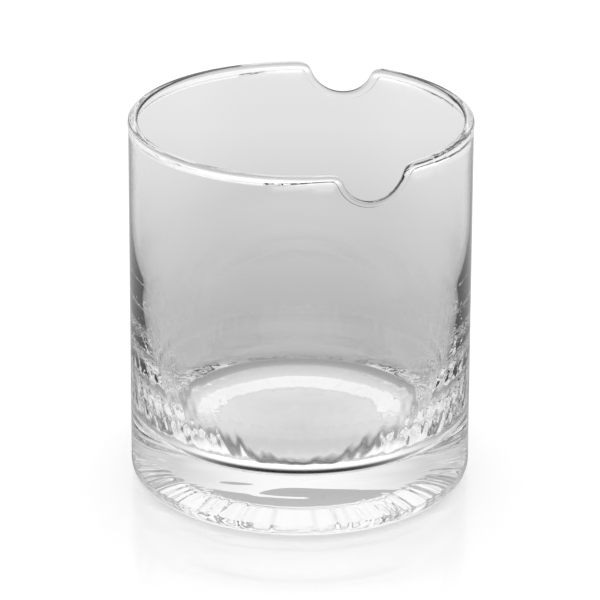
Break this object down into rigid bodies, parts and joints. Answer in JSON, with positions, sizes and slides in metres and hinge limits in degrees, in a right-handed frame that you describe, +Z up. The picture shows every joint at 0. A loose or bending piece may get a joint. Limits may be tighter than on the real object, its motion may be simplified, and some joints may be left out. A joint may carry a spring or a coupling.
{
  "type": "whisky glass with cigar rest",
  "caption": "Straight-sided clear glass tumbler with a thick solid base, a fluted inner heel and round notches in the rim that hold a cigar.",
  "frame": {"origin": "centre of the base, on the surface that the glass stands on", "axes": "+Z up along the axis of the glass; the chord that joins the two notches is parallel to Y, at +X beside the axis"},
  "size_m": [0.0856, 0.0856, 0.0951],
  "materials": {
    "clear_glass": "clear pressed soda-lime glass, fire polished all over"
  },
  "bodies": {
    "root": {"tumbler": "clear_glass"}
  },
  "joints": []
}
